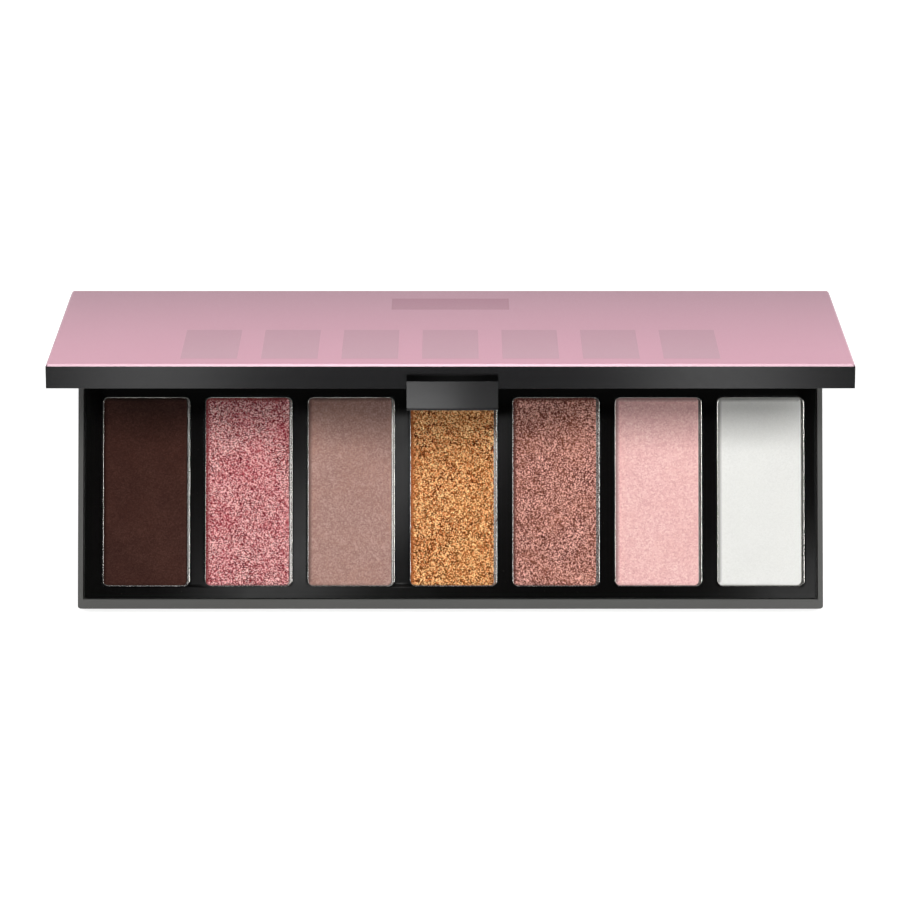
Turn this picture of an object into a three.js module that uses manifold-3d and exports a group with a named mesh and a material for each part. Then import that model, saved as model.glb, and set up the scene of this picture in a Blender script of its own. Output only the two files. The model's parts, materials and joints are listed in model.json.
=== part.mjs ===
// Seven-pan eyeshadow palette with a hinged lid, in millimetres, +Z up.
// The origin is the centre of the base's underside. The front faces -Y and the hinge is along +Y.
// The lid is built closed, in a group whose origin is the hinge axis, and the group is then opened.
import * as THREE from 'three';
import { mergeVertices } from 'three/addons/utils/BufferGeometryUtils.js';
import Module from 'manifold-3d';

const wasm = await Module();
wasm.setup();

// Base
const baseWidth = 145;
const baseDepth = 58.2;
const baseHeight = 6.9;
const sideRim = 1.0;
const frontRim = 1.8;
const rearRim = 1.5;
const floorThickness = 1.3;
const ledgeWidth = 0.8;
const ledgeTop = 4.9;
const baseCornerRadius = 0.6;

// Fit between separate pieces
const gap = 0.3;
const filmGap = 0.1;

// Pans and powders
const panCount = 7;
const panPitch = 19.95;
const panWidth = 17.0;
const panLength = 36.9;
const panHeight = 2.9;
const panWall = 0.35;
const panCornerRadius = 1.15;
const panFrontMargin = 2.55;
const panRowShift = 0.6;
const powderSideGap = 0.2;
const powderBelowRim = 0.2;
const glue = { width: 12, length: 30, thickness: 0.2, radius: 1 };

// Tray that carries the pans
const trayTop = 6.2;
const trayPlate = 1.0;
const trayWellFloor = 0.9;
const trayWellWall = 1.0;
const trayCornerRadius = 0.5;
const panRimAboveTray = 0.15;

// Hinge: two lugs on the lid, each between two cheeks of a boss on the base
const openAngleDeg = 72.5;
const axisHeight = 4.8;
const knuckleRadius = 1.7;
const rearEdgeRadius = 2.2;
const pinRadius = 0.6;
const boreRadius = 0.7;
const hingeOffset = 45;
const lugWidth = 8.0;
const bossWidth = 20.6;
const bossWall = 1.2;
const pinLength = 20.0;
const notchFloor = 2.0;

// Lid, with heights measured up from the hinge axis when closed
const lidOverhang = 1.5;
const lidWall = 1.2;
const lidTop = 5.46;
const panelThickness = 0.4;
const panelChamfer = 0.35;
const filmThickness = 0.1;
const lidPlate = 1.1;
const skirtBottom = 0.94;
const rearBarBottom = 2.6;
const rearBarFront = 0.2;
const mirrorThickness = 1.0;
const mirrorSideMargin = 3.0;
const mirrorFrontMargin = 2.7;
const mirrorRearEdge = -4.3;
const sheetCornerRadius = 0.8;

// Clasp tab on the lid's front wall
const tabWidth = 16.7;
const tabCentre = 0.35;
const tabTop = 3.65;
const tabShoulder = 2.71;
const tabBottom = -2.7;
const tabProtrusion = 1.9;
const tabToBase = 0.4;
const tabBottomRound = 0.5;
const tongueWidth = 12;
const tongueHeight = 1.0;
const tongueBottom = 1.7;
const tongueRoot = 0.2;
const tongueRecess = 0.05;
const catchHeight = 3.5;
const catchLength = 8;
const catchRadius = 0.8;
const catchDepth = 0.55;
const catchBump = 0.25;

// Blank label under the base
const label = { width: 45.4, length: 19.4, thickness: 0.15, recess: 0.35, centreX: 34, radius: 1.2 };

// Derived places
const frontY = -baseDepth / 2;
const rearY = baseDepth / 2;
const axisY = rearY - knuckleRadius;
const cavityFront = frontY + frontRim;
const cavityRear = rearY - rearRim;
const cavityHalf = baseWidth / 2 - sideRim;
const panCentreY = cavityFront + panFrontMargin + panLength / 2;
const panBottom = trayTop + panRimAboveTray - panHeight;
const panTop = panBottom + panHeight;
const wellFloorTop = panBottom - glue.thickness - 2 * filmGap;
const lidHalf = baseWidth / 2 + lidOverhang;
const lidFront = frontY - lidOverhang - axisY;
const lidRear = rearY - axisY;
const panelBottom = lidTop - panelThickness;
const lidShellTop = panelBottom - filmThickness - 2 * filmGap;
const lidCeiling = lidShellTop - lidPlate;
const innerHalf = lidHalf - lidWall;
const innerFront = lidFront + lidWall;
const mirrorTop = lidCeiling - filmThickness - 2 * filmGap;

const steel = { colour: 0xb9b9bb, roughness: 0.35, metalness: 1.0 };
const film = { colour: 0xd8d6cf, roughness: 0.6, metalness: 0.0 };
const blackSatin = { colour: 0x2c2c2e, roughness: 0.45, metalness: 0.0 };
const powderFinishes = [
  { colour: 0x3c2620, roughness: 0.95, metalness: 0.0 },
  { colour: 0xbe7878, roughness: 0.6, metalness: 0.35 },
  { colour: 0xaa8c87, roughness: 0.75, metalness: 0.1 },
  { colour: 0xc89664, roughness: 0.4, metalness: 0.7 },
  { colour: 0x967373, roughness: 0.55, metalness: 0.4 },
  { colour: 0xe1bec0, roughness: 0.75, metalness: 0.1 },
  { colour: 0xf1f1ee, roughness: 0.95, metalness: 0.0 },
];

// A closed geometry becomes a manifold solid, which is used for cuts and joins.
function toSolid(geometry) {
  const bare = geometry.clone();
  bare.deleteAttribute('normal');
  bare.deleteAttribute('uv');
  const merged = mergeVertices(bare, 1e-5);
  return new wasm.Manifold(new wasm.Mesh({
    numProp: 3,
    vertProperties: new Float32Array(merged.attributes.position.array),
    triVerts: new Uint32Array(merged.index.array),
  }));
}

function toGeometry(solid) {
  const mesh = solid.getMesh();
  const geometry = new THREE.BufferGeometry();
  geometry.setAttribute('position', new THREE.BufferAttribute(mesh.vertProperties, 3));
  geometry.setIndex(new THREE.BufferAttribute(mesh.triVerts, 1));
  geometry.computeVertexNormals();
  return geometry;
}

// A block between two opposite corners.
function block(low, high) {
  const size = high.map((value, i) => value - low[i]);
  const geometry = new THREE.BoxGeometry(...size);
  geometry.translate(...low.map((value, i) => value + size[i] / 2));
  return toSolid(geometry);
}

function roundedOutline(width, length, radius) {
  const x = width / 2;
  const y = length / 2;
  const outline = new THREE.Shape();
  outline.moveTo(-x + radius, -y);
  outline.lineTo(x - radius, -y);
  outline.absarc(x - radius, -y + radius, radius, -Math.PI / 2, 0);
  outline.absarc(x - radius, y - radius, radius, 0, Math.PI / 2);
  outline.absarc(-x + radius, y - radius, radius, Math.PI / 2, Math.PI);
  outline.absarc(-x + radius, -y + radius, radius, Math.PI, 1.5 * Math.PI);
  return outline;
}

// A rounded rectangle that stands upright from one height to another.
function pad(width, length, radius, centre, bottom, top, curveSegments = 3) {
  const geometry = new THREE.ExtrudeGeometry(
    roundedOutline(width, length, radius),
    { depth: top - bottom, bevelEnabled: false, curveSegments },
  );
  geometry.translate(centre[0], centre[1], bottom);
  return toSolid(geometry);
}

// An outline drawn in the Y-Z plane, extruded along X.
function bar(outline, left, right, curveSegments = 12) {
  const geometry = new THREE.ExtrudeGeometry(
    outline,
    { depth: right - left, bevelEnabled: false, curveSegments },
  );
  const axes = new THREE.Matrix4().makeBasis(
    new THREE.Vector3(0, 1, 0),
    new THREE.Vector3(0, 0, 1),
    new THREE.Vector3(1, 0, 0),
  );
  geometry.applyMatrix4(axes);
  geometry.translate(left, 0, 0);
  return toSolid(geometry);
}

// A round rod along X.
function rod(radius, left, right, y, z) {
  const geometry = new THREE.CylinderGeometry(radius, radius, right - left, 32);
  geometry.rotateZ(Math.PI / 2);
  geometry.translate((left + right) / 2, y, z);
  return toSolid(geometry);
}

function piece(name, solid, finish) {
  const material = new THREE.MeshStandardMaterial({
    color: finish.colour,
    roughness: finish.roughness,
    metalness: finish.metalness,
  });
  const mesh = new THREE.Mesh(toGeometry(solid), material);
  mesh.name = name;
  return mesh;
}

const hingeSides = [['left', -hingeOffset], ['right', hingeOffset]];

// The rear top edge of the base is an arc about the hinge axis, so that the lid's edge passes it.
function baseSection() {
  const topAngle = Math.asin((baseHeight - axisHeight) / rearEdgeRadius);
  const rearAngle = Math.acos(knuckleRadius / rearEdgeRadius);
  const outline = new THREE.Shape();
  outline.moveTo(frontY, 0);
  outline.lineTo(rearY, 0);
  outline.absarc(axisY, axisHeight, rearEdgeRadius, rearAngle, topAngle);
  outline.lineTo(frontY, baseHeight);
  return outline;
}

function makeBaseShell() {
  let shell = bar(baseSection(), -baseWidth / 2, baseWidth / 2)
    .intersect(pad(baseWidth, baseDepth, baseCornerRadius, [0, 0], -1, baseHeight + 1));
  const above = baseHeight + 1;
  const ledgeHalf = cavityHalf - ledgeWidth;
  shell = shell
    .subtract(block([-cavityHalf, cavityFront, ledgeTop], [cavityHalf, cavityRear, above]))
    .subtract(block(
      [-ledgeHalf, cavityFront + ledgeWidth, floorThickness],
      [ledgeHalf, cavityRear - ledgeWidth, above],
    ));
  const notchFront = axisY - knuckleRadius - gap;
  for (const [, x] of hingeSides) {
    const half = bossWidth / 2;
    const notchHalf = lugWidth / 2 + gap;
    shell = shell
      .add(block(
        [x - half, notchFront - bossWall, floorThickness / 2],
        [x + half, rearY - rearRim / 2, axisHeight + knuckleRadius],
      ))
      .subtract(block([x - notchHalf, notchFront, notchFloor], [x + notchHalf, rearY + 1, above]))
      .subtract(rod(boreRadius, x - half - 1, x + half + 1, axisY, axisHeight));
  }
  const dimpleY = frontY + catchDepth - catchRadius;
  const recess = pad(
    label.width + 2 * gap,
    label.length + 2 * gap,
    label.radius + gap,
    [label.centreX, 0],
    -1,
    label.recess,
  );
  return shell
    .subtract(rod(
      catchRadius,
      tabCentre - catchLength / 2,
      tabCentre + catchLength / 2,
      dimpleY,
      catchHeight,
    ))
    .subtract(recess);
}

function panX(index) {
  return (index - (panCount - 1) / 2) * panPitch + panRowShift;
}

function makePanTray() {
  const plateWidth = 2 * (cavityHalf - gap);
  const plateLength = cavityRear - cavityFront - 2 * gap;
  const plateCentre = [0, (cavityRear + cavityFront) / 2];
  const plateBottom = trayTop - trayPlate;
  const wellsHalf = cavityHalf - ledgeWidth - gap;
  const wellsRear = panCentreY + panLength / 2 + gap + trayWellWall;
  let tray = pad(plateWidth, plateLength, trayCornerRadius, plateCentre, plateBottom, trayTop)
    .add(block(
      [-wellsHalf, cavityFront + ledgeWidth + gap, wellFloorTop - trayWellFloor],
      [wellsHalf, wellsRear, plateBottom + trayPlate / 2],
    ));
  for (let i = 0; i < panCount; i += 1) {
    tray = tray.subtract(pad(
      panWidth + 2 * gap,
      panLength + 2 * gap,
      panCornerRadius + gap,
      [panX(i), panCentreY],
      wellFloorTop,
      trayTop + 1,
    ));
  }
  const notchFront = axisY - knuckleRadius - gap - bossWall - gap;
  const notchHalf = bossWidth / 2 + gap;
  for (const [, x] of hingeSides) {
    tray = tray.subtract(block(
      [x - notchHalf, notchFront, 0],
      [x + notchHalf, rearY, trayTop + 1],
    ));
  }
  return tray;
}

function makePan(x) {
  const centre = [x, panCentreY];
  const innerRadius = panCornerRadius - panWall;
  return pad(panWidth, panLength, panCornerRadius, centre, panBottom, panTop)
    .subtract(pad(
      panWidth - 2 * panWall,
      panLength - 2 * panWall,
      innerRadius,
      centre,
      panBottom + panWall,
      panTop + 1,
    ));
}

function makePowder(x) {
  const inset = 2 * (panWall + powderSideGap);
  return pad(
    panWidth - inset,
    panLength - inset,
    panCornerRadius - panWall - powderSideGap,
    [x, panCentreY],
    panBottom + panWall + powderSideGap,
    panTop - powderBelowRim,
  );
}

function makePanGlue(x) {
  const bottom = wellFloorTop + filmGap;
  const top = bottom + glue.thickness;
  return pad(glue.width, glue.length, glue.radius, [x, panCentreY], bottom, top);
}

function makeLidShell() {
  const below = skirtBottom - 1;
  let shell = block([-lidHalf, lidFront, skirtBottom], [lidHalf, lidRear, lidShellTop])
    .subtract(block([-innerHalf, innerFront, below], [innerHalf, rearBarFront, lidCeiling]))
    .subtract(block([-innerHalf, rearBarFront / 2, below], [innerHalf, lidRear + 1, rearBarBottom]));
  for (const [, x] of hingeSides) {
    const left = x - lugWidth / 2;
    const right = x + lugWidth / 2;
    shell = shell
      .add(rod(knuckleRadius, left, right, 0, 0))
      .add(block([left, -knuckleRadius, 0], [right, knuckleRadius, lidCeiling + lidPlate / 2]))
      .subtract(rod(boreRadius, left - 1, right + 1, 0, 0));
  }
  const slotHalf = tongueWidth / 2 + gap;
  return shell.subtract(block(
    [tabCentre - slotHalf, lidFront - 1, tongueBottom - gap],
    [tabCentre + slotHalf, innerFront + 1, tongueBottom + tongueHeight + gap],
  ));
}

// The panel is a plate with its upper edges chamfered all round.
function makeLidPanel() {
  const width = 2 * (lidHalf - panelChamfer);
  const length = lidRear - lidFront - 2 * panelChamfer;
  const geometry = new THREE.ExtrudeGeometry(roundedOutline(width, length, 0.1), {
    depth: panelThickness,
    bevelThickness: panelChamfer,
    bevelSize: panelChamfer,
    bevelSegments: 1,
    curveSegments: 2,
  });
  geometry.translate(0, (lidRear + lidFront) / 2, lidTop - panelThickness - panelChamfer);
  const keep = block(
    [-lidHalf - 1, lidFront - 1, panelBottom],
    [lidHalf + 1, lidRear + 1, lidTop + 1],
  );
  return toSolid(geometry).intersect(keep);
}

// A flat sheet inside the lid, set in from the lid's inner walls.
function makeSheet(inset, front, rear, bottom, top) {
  const half = lidHalf - inset;
  return pad(2 * half, rear - front, sheetCornerRadius, [0, (front + rear) / 2], bottom, top);
}

function makeClaspTab() {
  const outer = lidFront - tabProtrusion;
  const back = lidFront - gap;
  const inner = frontY - axisY - tabToBase;
  const step = skirtBottom - gap;
  const outline = new THREE.Shape();
  outline.moveTo(back, tabTop);
  outline.lineTo(outer, tabShoulder);
  outline.lineTo(outer, tabBottom + tabBottomRound);
  outline.absarc(
    outer + tabBottomRound,
    tabBottom + tabBottomRound,
    tabBottomRound,
    Math.PI,
    1.5 * Math.PI,
  );
  outline.lineTo(inner, tabBottom);
  outline.lineTo(inner, step);
  outline.lineTo(back, step);
  const bumpHalf = catchLength / 2 - gap;
  const bumpRadius = catchRadius / 2;
  const bumpY = inner + catchBump - bumpRadius;
  return bar(outline, tabCentre - tabWidth / 2, tabCentre + tabWidth / 2, 3)
    .add(block(
      [tabCentre - tongueWidth / 2, back - tongueRoot, tongueBottom],
      [tabCentre + tongueWidth / 2, innerFront - tongueRecess, tongueBottom + tongueHeight],
    ))
    .add(rod(
      bumpRadius,
      tabCentre - bumpHalf,
      tabCentre + bumpHalf,
      bumpY,
      catchHeight - axisHeight,
    ));
}

const palette = new THREE.Group();
palette.add(piece('base_shell', makeBaseShell(), blackSatin));
palette.add(piece('pan_tray', makePanTray(), { colour: 0x101011, roughness: 0.12, metalness: 0.0 }));
for (let i = 0; i < panCount; i += 1) {
  const x = panX(i);
  palette.add(piece(`pan_${i + 1}`, makePan(x), steel));
  palette.add(piece(`powder_${i + 1}`, makePowder(x), powderFinishes[i]));
  palette.add(piece(`pan_glue_${i + 1}`, makePanGlue(x), film));
}
for (const [side, x] of hingeSides) {
  const pin = rod(pinRadius, x - pinLength / 2, x + pinLength / 2, axisY, axisHeight);
  palette.add(piece(`hinge_pin_${side}`, pin, steel));
}
const labelBottom = label.recess - filmGap - label.thickness;
palette.add(piece(
  'base_label',
  pad(label.width, label.length, label.radius, [label.centreX, 0], labelBottom, label.recess - filmGap),
  { colour: 0xe9e7e0, roughness: 0.8, metalness: 0.0 },
));

const lid = new THREE.Group();
lid.position.set(0, axisY, axisHeight);
lid.rotation.x = THREE.MathUtils.degToRad(-openAngleDeg);
lid.add(piece('lid_shell', makeLidShell(), blackSatin));
lid.add(piece('lid_panel', makeLidPanel(), { colour: 0xd4a4b2, roughness: 0.3, metalness: 0.8 }));
lid.add(piece(
  'panel_film',
  makeSheet(1, lidFront + 1, lidRear - 1, lidShellTop + filmGap, panelBottom - filmGap),
  film,
));
const mirrorFront = lidFront + mirrorFrontMargin;
lid.add(piece(
  'mirror',
  makeSheet(mirrorSideMargin, mirrorFront, mirrorRearEdge, mirrorTop - mirrorThickness, mirrorTop),
  { colour: 0xe6e8ea, roughness: 0.03, metalness: 1.0 },
));
lid.add(piece(
  'mirror_tape',
  makeSheet(
    mirrorSideMargin + 1,
    mirrorFront + 1,
    mirrorRearEdge - 1,
    mirrorTop + filmGap,
    lidCeiling - filmGap,
  ),
  film,
));
lid.add(piece('clasp_tab', makeClaspTab(), { colour: 0x414143, roughness: 0.4, metalness: 0.0 }));
palette.add(lid);

export default palette;
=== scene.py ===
import json
import math

import bmesh
import bpy
from mathutils import Matrix, Vector, noise


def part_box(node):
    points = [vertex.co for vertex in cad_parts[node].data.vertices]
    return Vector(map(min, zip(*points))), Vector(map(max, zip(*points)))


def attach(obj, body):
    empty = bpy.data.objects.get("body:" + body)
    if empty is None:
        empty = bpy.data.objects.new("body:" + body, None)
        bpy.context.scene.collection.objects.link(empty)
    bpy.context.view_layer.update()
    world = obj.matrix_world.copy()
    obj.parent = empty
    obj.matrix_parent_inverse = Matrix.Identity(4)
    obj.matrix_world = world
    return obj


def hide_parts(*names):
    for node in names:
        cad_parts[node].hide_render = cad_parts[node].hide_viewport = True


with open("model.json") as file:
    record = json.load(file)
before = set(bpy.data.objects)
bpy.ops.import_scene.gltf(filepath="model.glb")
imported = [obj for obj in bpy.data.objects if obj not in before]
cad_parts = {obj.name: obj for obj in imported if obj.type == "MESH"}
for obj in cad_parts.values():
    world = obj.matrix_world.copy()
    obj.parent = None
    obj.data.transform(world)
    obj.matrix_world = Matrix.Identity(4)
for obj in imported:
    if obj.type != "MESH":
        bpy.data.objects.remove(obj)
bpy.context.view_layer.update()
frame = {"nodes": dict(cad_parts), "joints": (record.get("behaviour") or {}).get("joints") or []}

mm = 0.001
lightLevel = 1.06  # how brightly the studio lights a plain surface that faces up
shades = ["brown", "rose", "mauve", "gold", "bronze", "pink", "white"]  # from left to right
print("frame loaded")

baseLow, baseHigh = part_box("base_shell")
hinge = frame["joints"][0]
hingePoint = Vector(hinge["pos_m"])
closedTurn = math.radians(-hinge["range_deg"][0])  # from the rest pose back to the closed lid
toClosed = (
    Matrix.Translation(hingePoint)
    @ Matrix.Rotation(closedTurn, 4, "X")
    @ Matrix.Translation(-hingePoint)
)
toRest = toClosed.inverted()


def closedPoints(node):  # the points of one of the lid's nodes, as they are with the lid closed
    return [toClosed @ vertex.co for vertex in frame["nodes"][node].data.vertices]


closedPanel = closedPoints("lid_panel")
panelHalf = max(point.x for point in closedPanel)
panelFront = min(point.y for point in closedPanel)
panelBack = max(point.y for point in closedPanel)
panelUnder = min(point.z for point in closedPanel)
panelTop = max(point.z for point in closedPanel)
closedClasp = closedPoints("clasp_tab")
claspFront = min(point.y for point in closedClasp)
claspShoulder = max(point.z for point in closedClasp if point.y < claspFront + 0.01 * mm)


def limited(value, least=0, most=1):
    return min(most, max(least, value))


def paint(red, green, blue):  # a colour by how it looks on the screen under that light
    shares = (red / 255, green / 255, blue / 255)
    return tuple(((share + 0.055) / 1.055) ** 2.4 / lightLevel for share in shares)


# one wire of a material, with the arithmetic that the materials use
class Wire:
    def __init__(self, finish, socket):
        self.finish = finish
        self.socket = socket

    def maths(self, operation, *values):
        return self.finish.node("ShaderNodeMath", {"operation": operation}, dict(enumerate(values)))

    def __add__(self, other):
        return self.maths("ADD", self, other)

    def __sub__(self, other):
        return self.maths("SUBTRACT", self, other)

    def __rsub__(self, other):
        return self.maths("SUBTRACT", other, self)

    def __mul__(self, other):
        return self.maths("MULTIPLY", self, other)

    def __truediv__(self, other):
        return self.maths("DIVIDE", self, other)

    def __pow__(self, other):
        return self.maths("POWER", self, other)

    def __abs__(self):
        return self.maths("ABSOLUTE", self)

    __radd__ = __add__
    __rmul__ = __mul__

    def fraction(self):
        return self.maths("FRACT", self)

    def above(self, edge, soft):
        return self.maths("MULTIPLY_ADD", self, 1 / soft, 0.5 - edge / soft).clamped()

    def below(self, edge, soft):
        return self.maths("MULTIPLY_ADD", self, -1 / soft, 0.5 + edge / soft).clamped()

    def between(self, low, high, soft):
        return abs(self - (low + high) / 2).below((high - low) / 2, soft)

    def clamped(self):
        self.socket.node.use_clamp = True
        return self


class Finish:
    def __init__(self, name, **constants):
        self.material = bpy.data.materials.new(name)
        self.material.use_nodes = True
        self.tree = self.material.node_tree
        self.shader = self.tree.nodes["Principled BSDF"]
        self.set(**constants)

    def set(self, **values):
        for label, value in values.items():
            self.join(self.shader.inputs[label.replace("_", " ")], value)

    def join(self, socket, value):
        if isinstance(value, Wire):
            self.tree.links.new(value.socket, socket)
        elif socket.type == "RGBA" and len(value) == 3:
            socket.default_value = (*value, 1)
        else:
            socket.default_value = value

    def node(self, kind, settings, sockets, output=0):
        made = self.tree.nodes.new(kind)
        for label, value in settings.items():
            if label == "stops":
                self.addStops(made.color_ramp, value)
            else:
                setattr(made, label, value)
        for label, value in sockets.items():
            self.join(made.inputs[label], value)
        return Wire(self, made.outputs[output])

    def addStops(self, ramp, stops):
        for position, _ in stops[2:]:  # a new ramp has two stops of its own
            ramp.elements.new(position)
        for element, (position, colour) in zip(ramp.elements, stops):
            element.position = position
            element.color = (*colour, 1)

    def place(self):
        return self.node("ShaderNodeTexCoord", {}, {}, "Object")

    def placeOn(self, matrix):
        sockets = {
            "Vector": self.place(), "Location": matrix.translation, "Rotation": matrix.to_euler(),
        }
        return self.node("ShaderNodeMapping", {"vector_type": "POINT"}, sockets)

    def axes(self, vector):
        parts = self.node("ShaderNodeSeparateXYZ", {}, {0: vector}).socket.node.outputs
        return [Wire(self, part) for part in parts]

    def attribute(self, name):
        return self.node("ShaderNodeAttribute", {"attribute_name": name}, {}, "Fac")

    def grain(self, vector, size, detail, rough):
        sockets = {"Vector": vector, "Scale": 1 / size, "Detail": detail, "Roughness": rough}
        return self.node("ShaderNodeTexNoise", {}, sockets)

    def flakes(self, vector, size):
        return self.node("ShaderNodeTexVoronoi", {}, {"Vector": vector, "Scale": 1 / size}, "Color")

    def ramp(self, value, *stops):
        return self.node("ShaderNodeValToRGB", {"stops": stops}, {0: value})

    def blend(self, amount, first, second):
        sockets = {0: amount, 6: first, 7: second}  # the colours of a Mix node are its 6 and 7
        return self.node("ShaderNodeMix", {"data_type": "RGBA"}, sockets, 2)

    def bump(self, height, depth, **normal):
        sockets = {"Height": height, "Distance": depth, "Strength": 1.0, **normal}
        return self.node("ShaderNodeBump", {}, sockets)

    def vectors(self, operation, *values):
        sockets = dict(enumerate(values))
        return self.node("ShaderNodeVectorMath", {"operation": operation}, sockets)

    def tilted(self, directions, amount):
        normal = self.node("ShaderNodeNewGeometry", {}, {}, "Normal")
        centred = self.vectors("SUBTRACT", directions, (0.5, 0.5, 0.5))
        leaning = self.vectors("MULTIPLY_ADD", centred, [amount] * 3, normal)
        return self.vectors("NORMALIZE", leaning)


# In all finishes a grain has its size, its levels of detail and how rough these make it.
plasticFinish = {  # what the three satin plastics share
    "texture": {"detail": 3, "rough": 0.6},
    "clouds": {"size": 14 * mm, "detail": 3, "rough": 0.55},
    "rubbing": {"size": 1.6 * mm, "detail": 4, "rough": 0.7},
}
# the base and the lid shell are one plastic: the base's lighter grey is partly painted sheen, the
# lid's darker grey partly painted shade
baseFinish = {
    "colour": paint(84, 84, 82), "cloudColour": paint(92, 92, 90), "roughness": 0.46,
    "roughSpread": 0.08, "specular": 0.5, "textureSize": 0.12 * mm, "textureDepth": 0.004 * mm,
}
lidCasingFinish = {
    "colour": paint(22, 22, 23), "cloudColour": paint(25, 25, 26), "roughness": 0.12,
    "roughSpread": 0.04, "specular": 0.5, "textureSize": 0.15 * mm, "textureDepth": 0.0004 * mm,
}
claspFinish = {  # its sloping top has painted shade: a near-black metallic facet that shows no sheen
    "colour": paint(12, 12, 13), "cloudColour": paint(15, 15, 16), "roughness": 0.15,
    "roughSpread": 0.03, "specular": 0.4, "textureSize": 0.15 * mm, "textureDepth": 0.0003 * mm,
    "paintedShadeFacet": {
        "colour": (0.009, 0.009, 0.0093), "above": claspShoulder + 0.05 * mm, "soft": 0.04 * mm,
    },
}


def satinPlastic(name, settings):
    finish = Finish(name, Specular_IOR_Level=settings["specular"])
    spot = finish.place()
    texture = finish.grain(spot, settings["textureSize"], **plasticFinish["texture"])
    clouds = finish.grain(spot, **plasticFinish["clouds"])
    rubbing = finish.grain(spot, **plasticFinish["rubbing"])
    skin = finish.blend(clouds, settings["colour"], settings["cloudColour"])
    # painted shade: the sloping top turns into near-black metal
    if "paintedShadeFacet" in settings:
        paintedShadeFacet = settings["paintedShadeFacet"]
        _, _, height = finish.axes(finish.placeOn(toClosed))
        paintedShadeSlope = height.above(paintedShadeFacet["above"], paintedShadeFacet["soft"])
        skin = finish.blend(paintedShadeSlope, skin, paintedShadeFacet["colour"])
        finish.set(Metallic=paintedShadeSlope)
    finish.set(
        Base_Color=skin,
        Roughness=settings["roughness"] + settings["roughSpread"] * (rubbing - 0.5),
        Normal=finish.bump(texture, settings["textureDepth"]),
    )
    return finish.material


trayFinish = {
    "colour": (0.0012, 0.0011, 0.001), "roughness": 0.1, "specular": 0.2,
    "wave": {"size": 24 * mm, "detail": 1, "rough": 0.4}, "waveDepth": 0.02 * mm,
    "haze": {"size": 5 * mm, "detail": 4, "rough": 0.6}, "hazeSpread": 0.06,
    "dust": {"size": 0.5 * mm, "detail": 2, "rough": 0.5}, "dustAbove": 0.76, "dustSoft": 0.05,
    "dustColour": (0.03, 0.022, 0.02), "dustShare": 0.3, "dustRoughness": 0.3,
}


def glossyPlastic():
    tone = trayFinish
    finish = Finish("glossyTray", Specular_IOR_Level=tone["specular"])
    spot = finish.place()
    wave = finish.grain(spot, **tone["wave"])
    haze = finish.grain(spot, **tone["haze"])
    dust = finish.grain(spot, **tone["dust"]).above(tone["dustAbove"], tone["dustSoft"])
    hazed = tone["roughness"] + tone["hazeSpread"] * (haze - 0.5)
    finish.set(
        Base_Color=finish.blend(dust * tone["dustShare"], tone["colour"], tone["dustColour"]),
        Roughness=hazed + tone["dustRoughness"] * dust,
        Normal=finish.bump(wave, tone["waveDepth"]),
    )
    return finish.material


panMetalFinish = {  # fine lines round the wall, where the pan was pressed
    "stretch": (1.0, 1.0, 14.0), "lines": {"size": 0.5 * mm, "detail": 3, "rough": 0.6},
    "colour": (0.5, 0.485, 0.46), "lineColour": (0.7, 0.685, 0.66),
    "roughness": 0.12, "roughSpread": 0.1, "depth": 0.004 * mm,
}
steelFinish = {  # lines along the pin
    "stretch": (0.05, 1.0, 1.0), "lines": {"size": 0.08 * mm, "detail": 3, "rough": 0.6},
    "colour": (0.42, 0.42, 0.43), "lineColour": (0.62, 0.62, 0.63),
    "roughness": 0.24, "roughSpread": 0.2, "depth": 0.004 * mm,
}


def linedMetal(name, settings):
    finish = Finish(name, Metallic=1.0)
    sockets = {"Vector": finish.place(), "Scale": settings["stretch"]}
    lines = finish.grain(finish.node("ShaderNodeMapping", {}, sockets), **settings["lines"])
    finish.set(
        Base_Color=finish.blend(lines, settings["colour"], settings["lineColour"]),
        Roughness=settings["roughness"] + settings["roughSpread"] * lines,
        Normal=finish.bump(lines, settings["depth"]),
    )
    return finish.material
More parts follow.
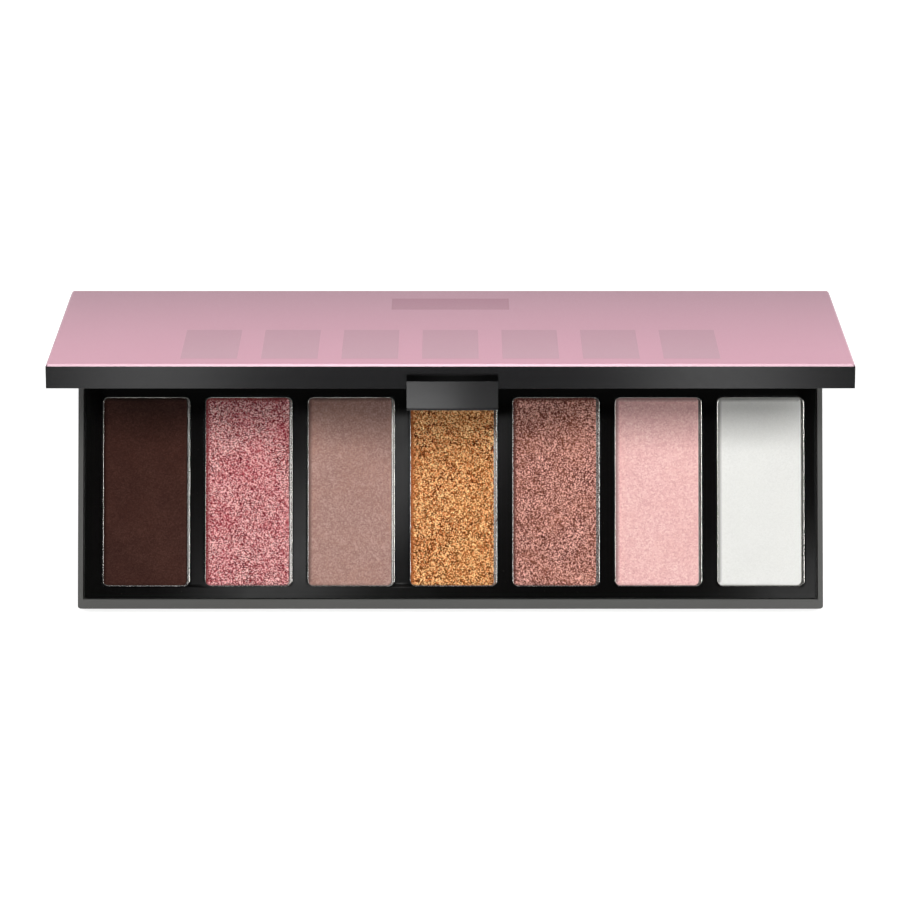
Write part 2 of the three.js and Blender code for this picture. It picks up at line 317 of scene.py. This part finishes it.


# Each powder: the colours of its hollows, body and bright flakes, the flake size and how much
# the flakes, the fine grain and the soft clouds change its tone, a tint that comes in patches,
# how far the flakes shine and tilt and how rough they are, the spacing of the mesh's points and
# the depth of its relief. Sizes are in mm. The gold's dark cracks and light crests are partly
# painted shade and painted highlight.
powders = {
    "brown": {
        "deep": (50, 28, 23), "body": (62, 37, 31), "flake": (77, 49, 41), "grain": 0.24,
        "spread": 0.5, "ripple": 0.5, "cloud": 0.8, "tint": (66, 36, 28), "tintShare": 0.4,
        "shine": 0.0, "tilt": 0.1, "rough": 0.8, "step": 0.3, "relief": 0.006,
    },
    "rose": {
        "deep": (80, 18, 28), "body": (206, 82, 88), "flake": (255, 208, 204), "grain": 0.17,
        "spread": 2.2, "ripple": 1.6, "cloud": 0.6, "tint": (208, 84, 100), "tintShare": 0.5,
        "shine": 0.3, "tilt": 0.5, "rough": 0.5, "step": 0.2, "relief": 0.02,
    },
    "mauve": {
        "deep": (148, 112, 103), "body": (172, 135, 126), "flake": (203, 169, 157), "grain": 0.24,
        "spread": 0.65, "ripple": 0.4, "cloud": 0.3, "tint": (184, 140, 124), "tintShare": 0.5,
        "shine": 0.15, "tilt": 0.2, "rough": 0.6, "step": 0.3, "relief": 0.01,
    },
    "gold": {
        "deep": (62, 22, 4), "body": (248, 134, 70), "flake": (255, 214, 150), "grain": 0.2,
        "spread": 1.9, "ripple": 1.6, "cloud": 0.5, "tint": (216, 150, 84), "tintShare": 0.4,
        "shine": 0.4, "tilt": 0.45, "rough": 0.42, "step": 0.12, "relief": 0.3,
    },
    "bronze": {
        "deep": (80, 42, 36), "body": (144, 82, 74), "flake": (246, 186, 170), "grain": 0.18,
        "spread": 1.7, "ripple": 1.4, "cloud": 0.6, "tint": (166, 100, 72), "tintShare": 0.5,
        "shine": 0.28, "tilt": 0.5, "rough": 0.5, "step": 0.2, "relief": 0.03,
    },
    "pink": {
        "deep": (226, 170, 168), "body": (242, 190, 188), "flake": (255, 218, 210), "grain": 0.26,
        "spread": 0.8, "ripple": 0.5, "cloud": 0.3, "tint": (246, 194, 186), "tintShare": 0.4,
        "shine": 0.1, "tilt": 0.2, "rough": 0.6, "step": 0.3, "relief": 0.01,
    },
    "white": {
        "deep": (231, 231, 227), "body": (238, 238, 234), "flake": (244, 244, 241), "grain": 0.22,
        "spread": 0.4, "ripple": 0.3, "cloud": 0.2, "tint": (240, 240, 234), "tintShare": 0.3,
        "shine": 0.0, "tilt": 0.1, "rough": 0.85, "step": 0.3, "relief": 0.006,
    },
}
powderFinish = {  # what all the powders share
    "specular": 0.12, "dullRoughness": 0.9,
    "fineSize": 0.7, "fine": {"detail": 1, "rough": 0.5},  # fine grain, against the flake size
    "clouds": {"size": 5 * mm, "detail": 2, "rough": 0.5},
    "patches": {"size": 7 * mm, "detail": 3, "rough": 0.55}, "patchAbove": 0.5, "patchSoft": 0.25,
    "glintAbove": 0.72, "glintSoft": 0.3,
    "dust": {"size": 0.09 * mm, "detail": 2, "rough": 0.6}, "dustDepth": 0.02 * mm,
}
paintedEdgeShadeSettings = {  # painted shade on the cake's edges at the left and the back of each pan, and down its sides
    "full": 0.42 * mm, "fade": 0.35 * mm, "tone": 0.42, "share": 0.85,
}


def pressedPowder(shade):
    tone = powders[shade]
    finish = Finish(f"powder_{shade}", Specular_IOR_Level=powderFinish["specular"])
    spot = finish.place()
    flakeSize = tone["grain"] * mm
    flakes = finish.flakes(spot, flakeSize)
    flakeTone, flakeTint, _ = finish.axes(flakes)
    fine = finish.grain(spot, powderFinish["fineSize"] * flakeSize, **powderFinish["fine"])
    clouds = finish.grain(spot, **powderFinish["clouds"])
    patches = finish.grain(spot, **powderFinish["patches"]).above(
        powderFinish["patchAbove"], powderFinish["patchSoft"]
    )
    # for the gold, the crumb height darkens the cracks and lightens the crests: painted shade and
    # painted highlight over the powder's own tone
    level = (
        (flakeTone - 0.5) * tone["spread"]
        + (fine - 0.5) * (2 * tone["ripple"])
        + (clouds - 0.5) * tone["cloud"]
        + (finish.attribute("crumb") if shade == "gold" else 0.5)
    )
    deep, body, flake, tint = (paint(*tone[part]) for part in ("deep", "body", "flake", "tint"))
    skin = finish.ramp(level, (0.0, deep), (0.5, body), (1.0, flake))
    tinted = finish.blend(flakeTint * tone["tintShare"] * patches, skin, tint)
    # painted shade at the left and back edges of the cake and down its sides
    smear = finish.attribute("smear") * paintedEdgeShadeSettings["share"]
    glint = level.above(powderFinish["glintAbove"], powderFinish["glintSoft"])
    dust = finish.grain(spot, **powderFinish["dust"])
    finish.set(
        Base_Color=finish.blend(smear, tinted, [paintedEdgeShadeSettings["tone"] * value for value in body]),
        Metallic=glint * tone["shine"],
        Roughness=tone["rough"] + (powderFinish["dullRoughness"] - tone["rough"]) * (1 - glint),
        Normal=finish.bump(
            dust, powderFinish["dustDepth"], Normal=finish.tilted(flakes, tone["tilt"])
        ),
    )
    return finish.material


lidSettings = {
    "rounding": {"width": 0.18 * mm, "segments": 3, "sharperThan": 50, "longerThan": 0.9 * mm},
    "seam": 0.02 * mm, "chamfer": 0.37 * mm, "cornerRadius": 0.35 * mm, "cornerSegments": 5,
}
lidFinish = {  # the satin print is in mm, measured from the front edge and the middle of the lid
    "metal": 0.35, "colour": (0.44, 0.18, 0.252),
    "pearl": (0.52, 0.25, 0.32), "pearlSize": 0.07 * mm, "pearlShare": 0.5, "pearlTilt": 0.05,
    "clouds": {"size": 30 * mm, "detail": 2, "rough": 0.5}, "cloudShare": 0.3,
    "satin": (0.44, 0.26, 0.308), "satinRoughness": 0.14, "satinDepth": 0.03 * mm,
    "bars": 7, "pitch": 14.8, "barWidth": 10.4, "barFront": 4.5, "barBack": 27.0,
    "plateWidth": 22.6, "plateFront": 43.6, "plateBack": 52.8, "printSoft": 0.12,
    "cutEdge": (0.19, 0.13, 0.148), "cutSoft": 0.03, "edgeTint": (0.98, 0.79, 0.87),
    "paintedShadeTone": 0.56, "paintedShadeFade": 1.3,  # painted shade: the pink darkens towards the hinge
    "roughness": 0.34, "roughSpread": 0.1,
}


def pearlPink():
    tone = lidFinish
    soft = tone["printSoft"]
    finish = Finish("pearlPink", Specular_Tint=tone["edgeTint"])
    x, y, _ = finish.axes(finish.placeOn(toClosed))
    fromFront = (y - panelFront) / mm
    across = x / mm
    wave = (across / tone["pitch"] + tone["bars"] / 2).fraction()  # the bars repeat across the lid
    bars = abs((wave - 0.5) * tone["pitch"]).below(tone["barWidth"] / 2, soft)
    bars = bars * abs(across).below(tone["bars"] * tone["pitch"] / 2, soft)
    bars = bars * fromFront.between(tone["barFront"], tone["barBack"], soft)
    plate = abs(across).below(tone["plateWidth"] / 2, soft)
    plate = plate * fromFront.between(tone["plateFront"], tone["plateBack"], soft)
    printed = (bars + plate).clamped()
    spot = finish.place()
    pearl = finish.flakes(spot, tone["pearlSize"])
    glitter, _, _ = finish.axes(pearl)
    clouds = finish.grain(spot, **tone["clouds"])
    pearly = glitter * tone["pearlShare"] + tone["cloudShare"] * clouds
    skin = finish.blend(printed, finish.blend(pearly, tone["colour"], tone["pearl"]), tone["satin"])
    # painted shade: the pink is blended darker towards the hinge
    paintedHingeShade = (fromFront / ((panelBack - panelFront) / mm)).clamped() ** tone["paintedShadeFade"]
    shaded = finish.blend(paintedHingeShade, skin, [tone["paintedShadeTone"] * value for value in tone["colour"]])
    cut = fromFront.below(lidSettings["chamfer"] / mm, tone["cutSoft"])  # bare metal
    rough = tone["roughness"] + tone["roughSpread"] * (glitter - 0.5)
    finish.set(
        Base_Color=finish.blend(cut, shaded, tone["cutEdge"]),
        Metallic=tone["metal"] + (1 - tone["metal"]) * cut,
        Roughness=rough + tone["satinRoughness"] * printed,
        Normal=finish.bump(
            printed, tone["satinDepth"], Normal=finish.tilted(pearl, tone["pearlTilt"])
        ),
    )
    return finish.material


mirrorFinish = {
    "haze": {"size": 9 * mm, "detail": 3, "rough": 0.6}, "roughness": 0.015, "roughSpread": 0.03,
    "colour": (0.86, 0.88, 0.88), "hazeColour": (0.9, 0.915, 0.92),
}


def silveredGlass():
    tone = mirrorFinish
    finish = Finish("silveredGlass", Metallic=1.0)
    haze = finish.grain(finish.place(), **tone["haze"])
    finish.set(
        Base_Color=finish.blend(haze, tone["colour"], tone["hazeColour"]),
        Roughness=tone["roughness"] + tone["roughSpread"] * haze,
    )
    return finish.material


labelFinish = {
    "mottle": {"size": 0.25 * mm, "detail": 4, "rough": 0.7}, "depth": 0.01 * mm,
    "dark": (0.74, 0.73, 0.69), "pale": (0.83, 0.82, 0.79), "roughness": 0.6, "roughSpread": 0.2,
}
filmFinish = {
    "mottle": {"size": 2.5 * mm, "detail": 4, "rough": 0.6}, "depth": 0.03 * mm,
    "dark": (0.55, 0.51, 0.42), "pale": (0.68, 0.65, 0.57), "roughness": 0.3, "roughSpread": 0.3,
}


def mottled(name, settings):  # paper, and the sticky film
    finish = Finish(name)
    mottle = finish.grain(finish.place(), **settings["mottle"])
    finish.set(
        Base_Color=finish.blend(mottle, settings["dark"], settings["pale"]),
        Roughness=settings["roughness"] + settings["roughSpread"] * mottle,
        Normal=finish.bump(mottle, settings["depth"]),
    )
    return finish.material


casing = satinPlastic("basePlastic", baseFinish)
lidCasing = satinPlastic("lidPlastic", lidCasingFinish)
claspPlastic = satinPlastic("claspPlastic", claspFinish)
tray = glossyPlastic()
panMetal = linedMetal("pressedPanMetal", panMetalFinish)
steel = linedMetal("drawnSteel", steelFinish)
pink = pearlPink()
mirrorGlass = silveredGlass()
paper = mottled("labelPaper", labelFinish)
film = mottled("stickyFilm", filmFinish)
print("finishes made")


def finishPiece(name, bm, body, node, material, crease=35, evenNormals=True):
    mesh = bpy.data.meshes.new(name)
    bm.to_mesh(mesh)
    bm.free()
    mesh.shade_smooth()
    mesh.set_sharp_from_angle(angle=math.radians(crease))
    mesh.materials.append(material)
    piece = bpy.data.objects.new(name, mesh)
    bpy.context.scene.collection.objects.link(piece)
    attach(piece, body)
    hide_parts(node)
    if evenNormals:
        weighted = piece.modifiers.new("evenNormals", "WEIGHTED_NORMAL")
        weighted.keep_sharp = True


copySettings = {"weld": 0.002 * mm, "flatWithin": 1.5}  # in degrees


def copyOfNode(node):
    bm = bmesh.new()
    bm.from_mesh(frame["nodes"][node].data)
    bmesh.ops.remove_doubles(bm, verts=bm.verts, dist=copySettings["weld"])
    bmesh.ops.dissolve_limit(
        bm, angle_limit=math.radians(copySettings["flatWithin"]),
        verts=bm.verts, edges=bm.edges, delimit=set(),
    )
    return bm


def bevelled(bm, geom, width, segments, affect="EDGES", clamped=False):
    bmesh.ops.bevel(
        bm, geom=geom, offset=width, offset_type="OFFSET", segments=segments,
        profile=0.5, affect=affect, clamp_overlap=clamped, material=-1,
    )


def softenEdges(bm, width, segments, sharperThan, longerThan=0.0, below=math.inf):
    edges = [
        edge
        for edge in bm.edges
        if edge.is_manifold
        and abs(edge.calc_face_angle()) > math.radians(sharperThan)
        and edge.calc_length() > longerThan
        and max(vertex.co.z for vertex in edge.verts) < below
    ]
    bevelled(bm, edges, width, segments, clamped=True)


def roundedSheet(bm, low, high, z, radius, segments=10):
    made = bmesh.ops.create_grid(bm, x_segments=1, y_segments=1, size=0.5)
    size = Vector((high[0] - low[0], high[1] - low[1], 1))
    bmesh.ops.scale(bm, vec=size, verts=made["verts"])
    centre = Vector(((high[0] + low[0]) / 2, (high[1] + low[1]) / 2, z))
    bmesh.ops.translate(bm, vec=centre, verts=made["verts"])
    bevelled(bm, made["verts"], radius, segments, affect="VERTICES")
    return bm.faces[:]


def pullUp(bm, faces, height):
    grown = bmesh.ops.extrude_face_region(bm, geom=faces)["geom"]
    verts = [item for item in grown if isinstance(item, bmesh.types.BMVert)]
    bmesh.ops.translate(bm, vec=(0, 0, height), verts=verts)
    return [item for item in grown if isinstance(item, bmesh.types.BMFace)]


baseSettings = {
    "rounding": {"width": 0.1 * mm, "segments": 3, "sharperThan": 50, "longerThan": 0.9 * mm},
}


def makeBase():
    bm = copyOfNode("base_shell")
    softenEdges(bm, **baseSettings["rounding"])
    finishPiece("baseShell", bm, "base", "base_shell", casing)


traySettings = {
    "rounding": {"width": 0.12 * mm, "segments": 2, "sharperThan": 50, "longerThan": 0.6 * mm},
    "collar": 0.14 * mm, "collarSunk": 0.18 * mm, "belowRim": 0.05 * mm,
}


def addCollar(bm, low, high):  # a thin wall up the inside of the rims, but not past the hinges
    foot = high.z - traySettings["collarSunk"]
    rise = baseHigh.z - traySettings["belowRim"] - foot
    corners = ((high.x, high.y), (high.x, low.y), (low.x, low.y), (low.x, high.y))
    path = [bm.verts.new((*corner, foot)) for corner in corners]
    edges = [bm.edges.new(pair) for pair in zip(path, path[1:])]
    grown = bmesh.ops.extrude_edge_only(bm, edges=edges)["geom"]
    verts = [item for item in grown if isinstance(item, bmesh.types.BMVert)]
    walls = [item for item in grown if isinstance(item, bmesh.types.BMFace)]
    bmesh.ops.translate(bm, vec=(0, 0, rise), verts=verts)
    bmesh.ops.solidify(bm, geom=walls, thickness=traySettings["collar"])


def makeTray():
    bm = copyOfNode("pan_tray")
    softenEdges(bm, **traySettings["rounding"])
    addCollar(bm, *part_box("pan_tray"))
    bmesh.ops.recalc_face_normals(bm, faces=bm.faces)
    finishPiece("panTray", bm, "base", "pan_tray", tray)


makeBase()
makeTray()
print("base and tray made")


panSettings = {
    "radius": 1.15 * mm, "wall": 0.2 * mm, "floor": 0.35 * mm,
    "lip": {"width": 0.095 * mm, "segments": 4, "sharperThan": 60},
}


def makePan(index):
    node = f"pan_{index}"
    low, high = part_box(node)
    bm = bmesh.new()
    sheet = roundedSheet(bm, low, high, low.z, panSettings["radius"])
    top = pullUp(bm, sheet, high.z - low.z)
    bmesh.ops.inset_region(bm, faces=top, thickness=panSettings["wall"], use_even_offset=True)
    pullUp(bm, top, -(high.z - low.z - panSettings["floor"]))
    bmesh.ops.delete(bm, geom=[face for face in top if face.is_valid], context="FACES_ONLY")
    bmesh.ops.recalc_face_normals(bm, faces=bm.faces)
    softenEdges(bm, **panSettings["lip"])
    finishPiece(f"pan{index}", bm, "base", node, panMetal)


for index in range(1, len(shades) + 1):
    makePan(index)
print("pans made")


cakeSettings = {  # pressed over the lip at the left and the back
    "radius": 0.85 * mm, "shoulder": 0.4 * mm, "drop": 0.2 * mm, "lean": -0.3, "proud": 0.16 * mm,
    "overLip": 0.12 * mm, "frontGap": 0.03 * mm, "rightGap": 0.46 * mm,
    "sweep": 0.02 * mm, "sweepSize": 9,  # in mm
    "edgeCalm": 0.6, "crease": 60,
}
crumbs = {  # the broken surface of the gold, in mm
    "layers": (
        {"size": 0.95, "depth": 0.85, "crack": 0.26}, {"size": 0.48, "depth": 0.8, "crack": 0.45},
    ),
    "seed": 7, "drift": 0.4, "driftScale": 1.1,
    "share": 0.6, "shareSpread": 1.3, "leastShare": 0.15, "shareScale": 0.7, "shareSize": 2,
    "height": 0.72, "lumps": ({"size": 0.3, "height": 0.2}, {"size": 1.7, "height": 0.16}),
}


def crumbHeight(spot):  # 0 in the cracks, 1 on the crumbs
    loose = spot + noise.noise_vector(spot * crumbs["driftScale"]) * crumbs["drift"]
    height = 1.0
    for layer in crumbs["layers"]:
        distances, points = noise.voronoi(loose / layer["size"])
        crack = max(0, 1 - (distances[1] - distances[0]) / layer["crack"])
        openness = noise.noise(points[0] * crumbs["shareScale"] + spot / crumbs["shareSize"])
        share = limited(crumbs["share"] + crumbs["shareSpread"] * openness, crumbs["leastShare"])
        height -= layer["depth"] * share * crack
    lumps = sum(lump["height"] * noise.noise(spot / lump["size"]) for lump in crumbs["lumps"])
    return limited(crumbs["height"] * height + lumps)


def makePowder(index, shade):
    node = f"powder_{index}"
    tone = powders[shade]
    panLow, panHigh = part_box(f"pan_{index}")
    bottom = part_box(node)[0].z
    wall, overLip = panSettings["wall"], cakeSettings["overLip"]
    low = Vector((panLow.x + overLip, panLow.y + wall + cakeSettings["frontGap"]))
    high = Vector((panHigh.x - wall - cakeSettings["rightGap"], panHigh.y - overLip))
    width, length = high - low
    centre = (low + high) / 2
    step = tone["step"] * mm
    bm = bmesh.new()
    made = bmesh.ops.create_grid(
        bm, x_segments=round(width / step), y_segments=round(length / step), size=0.5
    )
    bmesh.ops.scale(bm, vec=(width, length, 1), verts=made["verts"])
    crumb = bm.verts.layers.float.new("crumb")
    smear = bm.verts.layers.float.new("smear")
    radius, shoulder = cakeSettings["radius"], cakeSettings["shoulder"]
    for vertex in bm.verts:
        x, y = vertex.co.x, vertex.co.y
        overX = abs(x) - (width / 2 - radius)
        overY = abs(y) - (length / 2 - radius)
        edge = min(width / 2 - abs(x), length / 2 - abs(y))
        if overX > 0 and overY > 0:  # the square corner of the grid becomes a quarter disc
            u, v = overX / radius, overY / radius
            bendX, bendY = u * math.sqrt(1 - v * v / 2), v * math.sqrt(1 - u * u / 2)
            x = math.copysign(abs(x) - overX + radius * bendX, x)
            y = math.copysign(abs(y) - overY + radius * bendY, y)
            edge = radius * (1 - math.hypot(bendX, bendY))
        # the left and back edges of the cake get painted shade
        paintedShadeSide = min(width / 2 + x, length / 2 - y) < min(width / 2 - x, length / 2 + y)
        fade = 1 - (edge - paintedEdgeShadeSettings["full"]) / paintedEdgeShadeSettings["fade"]
        vertex[smear] = limited(fade) if paintedShadeSide else 0
        spot = Vector((x + centre.x, y + centre.y, 0)) / mm
        vertex[crumb] = crumbHeight(spot) if shade == "gold" else noise.noise(spot / tone["grain"])
        fall = limited(1 - edge / shoulder)
        calm = 1 - cakeSettings["edgeCalm"] * fall
        rise = tone["relief"] * mm * (vertex[crumb] - 0.5) * calm
        drop = cakeSettings["drop"] * (1 + cakeSettings["lean"] * x / (width / 2))
        sweep = cakeSettings["sweep"] * noise.noise(spot / cakeSettings["sweepSize"])
        top = panHigh.z + cakeSettings["proud"] - drop * (1 - math.sqrt(1 - fall * fall))
        vertex.co = (x + centre.x, y + centre.y, top + rise + sweep)
    rim = [edge for edge in bm.edges if edge.is_boundary]
    skirt = bmesh.ops.extrude_edge_only(bm, edges=rim)["geom"]
    for item in skirt:
        if isinstance(item, bmesh.types.BMVert):
            item.co.z = bottom
            item[smear] = 1  # painted shade: no light reaches down beside the cake
    bmesh.ops.holes_fill(bm, edges=[edge for edge in bm.edges if edge.is_boundary])
    bmesh.ops.recalc_face_normals(bm, faces=bm.faces)
    finishPiece(
        f"powderCake{index}", bm, "base", node, pressedPowder(shade),
        crease=cakeSettings["crease"], evenNormals=False,
    )


noise.seed_set(crumbs["seed"])  # so that the crumbs are the same on every run
for index, shade in enumerate(shades, 1):
    makePowder(index, shade)
print("powders made")


def makeLidShell():
    bm = copyOfNode("lid_shell")
    bmesh.ops.transform(bm, matrix=toClosed, verts=bm.verts)
    shellTop = max(vertex.co.z for vertex in bm.verts)
    for vertex in bm.verts:
        if vertex.co.z > shellTop - 0.01 * mm:  # up to the panel, but for a hairline seam
            vertex.co.z = panelUnder - lidSettings["seam"]
    softenEdges(bm, **lidSettings["rounding"], below=shellTop)
    bmesh.ops.transform(bm, matrix=toRest, verts=bm.verts)
    finishPiece("lidShell", bm, "lid", "lid_shell", lidCasing)


def makeLidPanel():
    bm = bmesh.new()
    low, high = (-panelHalf, panelFront), (panelHalf, panelBack)
    sheet = roundedSheet(
        bm, low, high, panelUnder, lidSettings["cornerRadius"], lidSettings["cornerSegments"]
    )
    top = pullUp(bm, sheet, panelTop - panelUnder)
    bmesh.ops.recalc_face_normals(bm, faces=bm.faces)
    rim = {edge for face in top for edge in face.edges}
    bevelled(bm, list(rim), lidSettings["chamfer"], segments=1)
    bmesh.ops.transform(bm, matrix=toRest, verts=bm.verts)
    finishPiece("lidPanel", bm, "lid", "lid_panel", pink)


claspSettings = {  # its front is crowned across and leans out towards its foot
    "rounding": {"width": 0.2 * mm, "segments": 4, "sharperThan": 20, "longerThan": 0.9 * mm},
    "crown": 0.15 * mm, "draft": -5, "frontDepth": 0.6 * mm, "strips": 12,
}


def makeClaspTab():
    bm = copyOfNode("clasp_tab")
    bmesh.ops.transform(bm, matrix=toClosed, verts=bm.verts)
    softenEdges(bm, **claspSettings["rounding"])
    left, right = min(v.co.x for v in bm.verts), max(v.co.x for v in bm.verts)
    front, top = min(v.co.y for v in bm.verts), max(v.co.z for v in bm.verts)
    for strip in range(1, claspSettings["strips"]):
        across = left + (right - left) * strip / claspSettings["strips"]
        everything = bm.verts[:] + bm.edges[:] + bm.faces[:]
        bmesh.ops.bisect_plane(bm, geom=everything, plane_co=(across, 0, 0), plane_no=(1, 0, 0))
    middle, half = (left + right) / 2, (right - left) / 2
    lean = math.tan(math.radians(claspSettings["draft"]))
    for vertex in bm.verts:
        if vertex.co.y < front + claspSettings["frontDepth"]:
            offCentre = (vertex.co.x - middle) / half
            vertex.co.y += claspSettings["crown"] * offCentre ** 2
            vertex.co.y += lean * (top - vertex.co.z)
    bmesh.ops.transform(bm, matrix=toRest, verts=bm.verts)
    finishPiece("claspTab", bm, "lid", "clasp_tab", claspPlastic)


mirrorSettings = {"rounding": {"width": 0.25 * mm, "segments": 2, "sharperThan": 50}}


def makeMirror():
    bm = copyOfNode("mirror")
    softenEdges(bm, **mirrorSettings["rounding"])
    finishPiece("mirrorPlate", bm, "lid", "mirror", mirrorGlass)


makeLidShell()
makeLidPanel()
makeClaspTab()
makeMirror()
print("lid made")


pinSettings = {
    "sides": 48, "rounding": {"width": 0.15 * mm, "segments": 3, "sharperThan": 60},
}


def makePin(side):
    node = f"hinge_pin_{side}"
    low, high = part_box(node)
    radius = (high.z - low.z) / 2
    bm = bmesh.new()
    bmesh.ops.create_cone(
        bm, cap_ends=True, cap_tris=False, segments=pinSettings["sides"],
        radius1=radius, radius2=radius, depth=high.x - low.x,
    )
    turn = Matrix.Translation((low + high) / 2) @ Matrix.Rotation(math.pi / 2, 4, "Y")
    bmesh.ops.transform(bm, matrix=turn, verts=bm.verts)
    softenEdges(bm, **pinSettings["rounding"])
    finishPiece(f"hingePin{side.capitalize()}", bm, "base", node, steel)


labelSettings = {
    "radius": 1.2 * mm, "rounding": {"width": 0.03 * mm, "segments": 2, "sharperThan": 60},
}


def makeLabel():
    low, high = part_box("base_label")
    bm = bmesh.new()
    sheet = roundedSheet(bm, low, high, low.z, labelSettings["radius"])
    pullUp(bm, sheet, high.z - low.z)
    bmesh.ops.recalc_face_normals(bm, faces=bm.faces)
    softenEdges(bm, **labelSettings["rounding"])
    finishPiece("baseLabel", bm, "base", "base_label", paper)


for side in ("left", "right"):
    makePin(side)
makeLabel()
for node, piece in frame["nodes"].items():
    if node.startswith("pan_glue") or node in ("panel_film", "mirror_tape"):
        piece.material_slots[0].material = film
print("pins, label and films made")


view = {
    "lens": 178.28, "sensor": 36.0, "distance": 868.3 * mm, "lean": math.radians(2.36),
    "aimFromFront": 30.9 * mm, "aimLeft": 0.08 * mm, "nearest": 0.05, "furthest": 20,
}
# Each lamp: its place and size in metres, its power in watts, and the surfaces that it lights.
# It faces the origin, or with a turn in degrees it faces straight down.
studio = {
    "sky": 0.12,
    "floor": {"size": 4.0, "drop": 0.2 * mm, "colour": 0.5, "glow": 0.78, "roughness": 0.9},
    "floorSpecular": 0.1,
    "lamps": {
        "above": {"place": (0, 0.112, 1.1), "size": (0.7, 0.163), "power": 9.2, "lights": "matt"},
        "right": {"place": (0.85, 0.04, 0.62), "size": (0.3, 0.3), "power": 1.3, "lights": "matt"},
        "rightShine": {
            "place": (0.85, 0.04, 0.62), "size": (0.5, 0.5), "power": 14.0, "lights": "gloss",
        },
        "front": {"place": (0.1, -0.9, 0.55), "size": (0.5, 0.3), "power": 1.6, "lights": "matt"},
        "behind": {"place": (0, 1.0, 0.65), "size": (0.7, 0.4), "power": 4.0, "lights": "all"},
        "claspEdge": {
            "place": (-0.02, 0.85, 0.95), "size": (0.3, 0.3), "power": 12.0, "lights": "gloss",
        },
        "wallLeft": {
            "place": (-0.122, -0.51, 0.91), "size": (0.055, 0.09), "power": 0.029, "lights": "all",
        },
        "wallRight": {
            "place": (0.11, -0.51, 0.91), "size": (0.055, 0.09), "power": 0.034, "lights": "all",
        },
        "tabSide": {
            "place": (-0.07, -0.43, 1.03), "size": (0.16, 0.1), "power": 0.31, "lights": "all",
        },
        "tabWash": {
            "place": (0.08, -0.43, 1.03), "size": (0.13, 0.1), "power": 0.05, "lights": "gloss",
        },
        "band": {
            "place": (-0.043, 0.021, 1.1), "size": (0.146, 0.036), "power": 0.073, "lights": "all",
            "turn": 42,
        },
        "corner": {
            "place": (0.16, -0.025, 1.1), "size": (0.05, 0.05), "power": 0.03, "lights": "all",
        },
    },
}


def makeCamera():
    data = bpy.data.cameras.new("viewCamera")
    data.lens = view["lens"]
    data.sensor_width = view["sensor"]
    data.clip_start = view["nearest"]
    data.clip_end = view["furthest"]
    camera = bpy.data.objects.new("viewCamera", data)
    aim = Vector((-view["aimLeft"], baseLow.y + view["aimFromFront"], baseHigh.z))
    back = Vector((0, -math.sin(view["lean"]), math.cos(view["lean"])))
    camera.location = aim + back * view["distance"]
    camera.rotation_euler = (view["lean"], 0, 0)
    bpy.context.scene.collection.objects.link(camera)
    bpy.context.scene.camera = camera


def softBox(name, settings):
    data = bpy.data.lights.new(name, "AREA")
    data.shape = "RECTANGLE"
    data.size, data.size_y = settings["size"]
    data.energy = settings["power"]
    lamp = bpy.data.objects.new(name, data)
    lamp.location = settings["place"]
    if "turn" in settings:
        lamp.rotation_euler = (0, 0, math.radians(settings["turn"]))
    else:
        lamp.rotation_euler = Vector(settings["place"]).to_track_quat("Z", "Y").to_euler()
    lamp.visible_glossy = settings["lights"] != "matt"
    lamp.visible_diffuse = settings["lights"] != "gloss"
    bpy.context.scene.collection.objects.link(lamp)


def makeFloor():
    settings = studio["floor"]
    bm = bmesh.new()
    bmesh.ops.create_grid(bm, x_segments=1, y_segments=1, size=settings["size"])
    bmesh.ops.translate(bm, vec=(0, 0, -settings["drop"]), verts=bm.verts)
    mesh = bpy.data.meshes.new("floor")
    bm.to_mesh(mesh)
    bm.free()
    finish = Finish(
        "paleFloor", Base_Color=[settings["colour"]] * 3, Roughness=settings["roughness"],
        Specular_IOR_Level=studio["floorSpecular"],
        Emission_Color=(1, 1, 1), Emission_Strength=settings["glow"],
    )
    mesh.materials.append(finish.material)
    floor = bpy.data.objects.new("floor", mesh)
    bpy.context.scene.collection.objects.link(floor)


def makeSky():
    world = bpy.data.worlds.new("studio")
    world.use_nodes = True
    sky = world.node_tree.nodes["Background"]
    sky.inputs["Color"].default_value = (1, 1, 1, 1)
    sky.inputs["Strength"].default_value = studio["sky"]
    bpy.context.scene.world = world


makeCamera()
makeFloor()
makeSky()
for name, settings in studio["lamps"].items():
    softBox(name, settings)
bpy.context.scene.view_settings.view_transform = "Standard"
print("camera, light and floor made")
